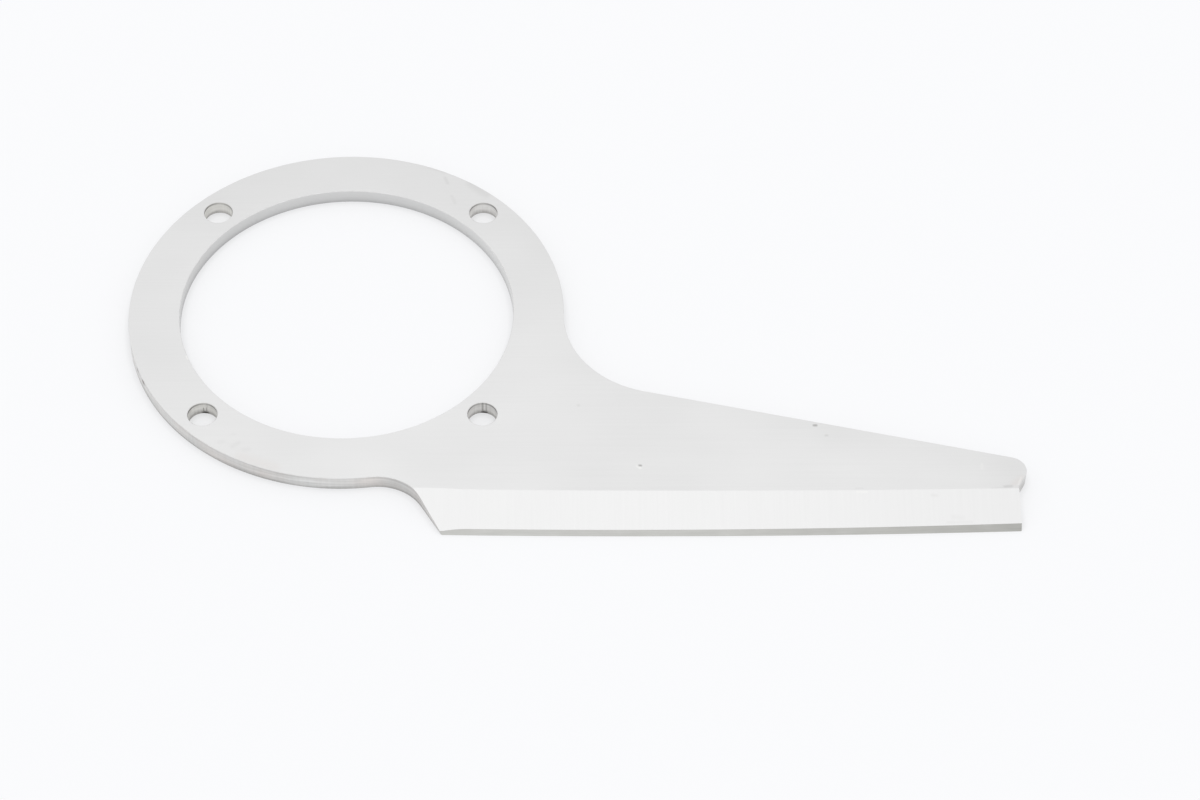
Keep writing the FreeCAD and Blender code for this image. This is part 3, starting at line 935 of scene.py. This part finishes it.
# %% Measure what came out
def measure(mesh):
    """Return a mesh's volume in cubic millimetres and how many of its edges stand open."""
    shell = bmesh.new()
    shell.from_mesh(mesh)
    bmesh.ops.remove_doubles(shell, verts=shell.verts, dist=weld_distance / 10)
    found = shell.calc_volume() / MM**3, sum(not edge.is_manifold for edge in shell.edges)
    shell.free()
    return found


print("volume and open edges: knife %.0f, %d; CAD %.0f, %d" % (
    *measure(steel), *measure(frame["nodes"]["cutter_knife"].data)))

# %% [markdown]
# ## The knife takes the CAD node's place
#
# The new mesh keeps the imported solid's form and adds the broken rims and the finishes. It rides
# on the same body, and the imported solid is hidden, because two surfaces in one place would
# flicker through each other.

# %% Put the knife in the frame
knife = bpy.data.objects.new("ground_knife", steel)
bpy.context.scene.collection.objects.link(knife)
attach(knife, "root")
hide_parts("cutter_knife")
print(knife.name, "replaces cutter_knife")

# %% [markdown]
# ## The floor
#
# The knife lies on matt white paper. Under an open sky of light a paper that only reflects shows
# broad, heavy shadows. A light table, which also shines by itself, keeps them as narrow and as
# faint as in a catalogue picture. So a part of the paper's brightness is emission. Right at the
# foot of the steel a painted contact shadow makes a narrow, darker seam: an ambient occlusion node
# finds the last two millimetres there, and the glow fades in them.

# %% Matt white paper
# The seam is a painted contact shadow: the glow is lower beside the steel.
contact_shadow_width = 2.2 * MM
contact_shadow_glow, open_glow = 0.555, 0.635
floor_paper = bpy.data.materials.new("matt_white_paper")
floor_paper.use_nodes = True
tree = floor_paper.node_tree
tree.nodes.clear()
open_sky = add_node(tree, "ShaderNodeAmbientOcclusion", {"Distance": contact_shadow_width})
glow = add_node(tree, "ShaderNodeMapRange", {
    "Value": open_sky.outputs["AO"], "From Min": 0.5, "From Max": 1.0,
    "To Min": contact_shadow_glow, "To Max": open_glow})
shader = add_node(tree, "ShaderNodeBsdfPrincipled", {
    "Base Color": linear("9b9c9f"), "Roughness": 0.9, "Specular IOR Level": 0.0,
    "Emission Color": (1.0, 1.0, 1.0, 1.0), "Emission Strength": glow.outputs["Result"]})
add_node(tree, "ShaderNodeOutputMaterial", {"Surface": shader.outputs["BSDF"]})
print("paper glows by %.3f, and by %.3f in the seam" % (open_glow, contact_shadow_glow))

# %% Light table
floor_radius = 4.0
floor_mesh = bpy.data.meshes.new("floor")
shell = bmesh.new()
bmesh.ops.create_circle(shell, cap_ends=True, segments=96, radius=floor_radius)
shell.to_mesh(floor_mesh)
shell.free()
floor_mesh.materials.append(floor_paper)
floor = bpy.data.objects.new("floor", floor_mesh)
bpy.context.scene.collection.objects.link(floor)
print("floor with", len(floor_mesh.vertices), "points")

# %% [markdown]
# ## The light
#
# Steel is seen by what it reflects. A single lamp would give one hard highlight. A light tent,
# white all round and a little brighter overhead, gives the even grey that shows the form. It is
# the world itself here: the direction's Z, from the horizon to the zenith, sets the brightness.

# %% Light tent
horizon_light, zenith_light = 0.8, 1.1
world = bpy.data.worlds.new("light_tent")
bpy.context.scene.world = world
world.use_nodes = True
tree = world.node_tree
tree.nodes.clear()
direction = add_node(tree, "ShaderNodeTexCoord").outputs["Generated"]
along = add_node(tree, "ShaderNodeSeparateXYZ", {"Vector": direction})
brightness = add_node(tree, "ShaderNodeMapRange", {
    "Value": along.outputs["Z"], "From Min": 0.0, "From Max": 1.0,
    "To Min": horizon_light, "To Max": zenith_light})
light = add_node(tree, "ShaderNodeBackground", {
    "Color": (1.0, 1.0, 1.0, 1.0), "Strength": brightness.outputs["Result"]})
add_node(tree, "ShaderNodeOutputWorld", {"Surface": light.outputs["Background"]})
print("light tent with", len(tree.nodes), "nodes")

# %% [markdown]
# ## The camera
#
# The camera stands about a metre in front of the knife and looks down at half a right angle and a
# little more. Its direction is written as three angles. The three axes that follow from them make
# its matrix directly, which is easier to check than a chain of turns.

# %% Turn the camera's three angles into its axes
pitch = math.radians(49.3565)
roll = math.radians(1.964)
heading = math.radians(2.66)
level_right = Vector((math.cos(heading), -math.sin(heading), 0))
forward = Vector((
    math.cos(pitch) * math.sin(heading), math.cos(pitch) * math.cos(heading), -math.sin(pitch)))
level_up = level_right.cross(forward)
right = math.cos(roll) * level_right + math.sin(roll) * level_up
up = math.cos(roll) * level_up - math.sin(roll) * level_right
axes = Matrix((right, up, -forward)).transposed().to_4x4()
print("camera looks along", [round(share, 3) for share in forward])

# %% Camera
lens_pixels = 3178.54
picture_width = 1200
camera_place = Vector((48.96, -668.6, 741.6)) * MM
camera_data = bpy.data.cameras.new("camera")
camera_data.sensor_width = 36
camera_data.lens = lens_pixels * camera_data.sensor_width / picture_width
camera = bpy.data.objects.new("camera", camera_data)
bpy.context.scene.collection.objects.link(camera)
camera.matrix_world = Matrix.Translation(camera_place) @ axes
bpy.context.scene.camera = camera
bpy.context.scene.view_settings.view_transform = "Standard"
print("lens of %.1f mm" % camera_data.lens)
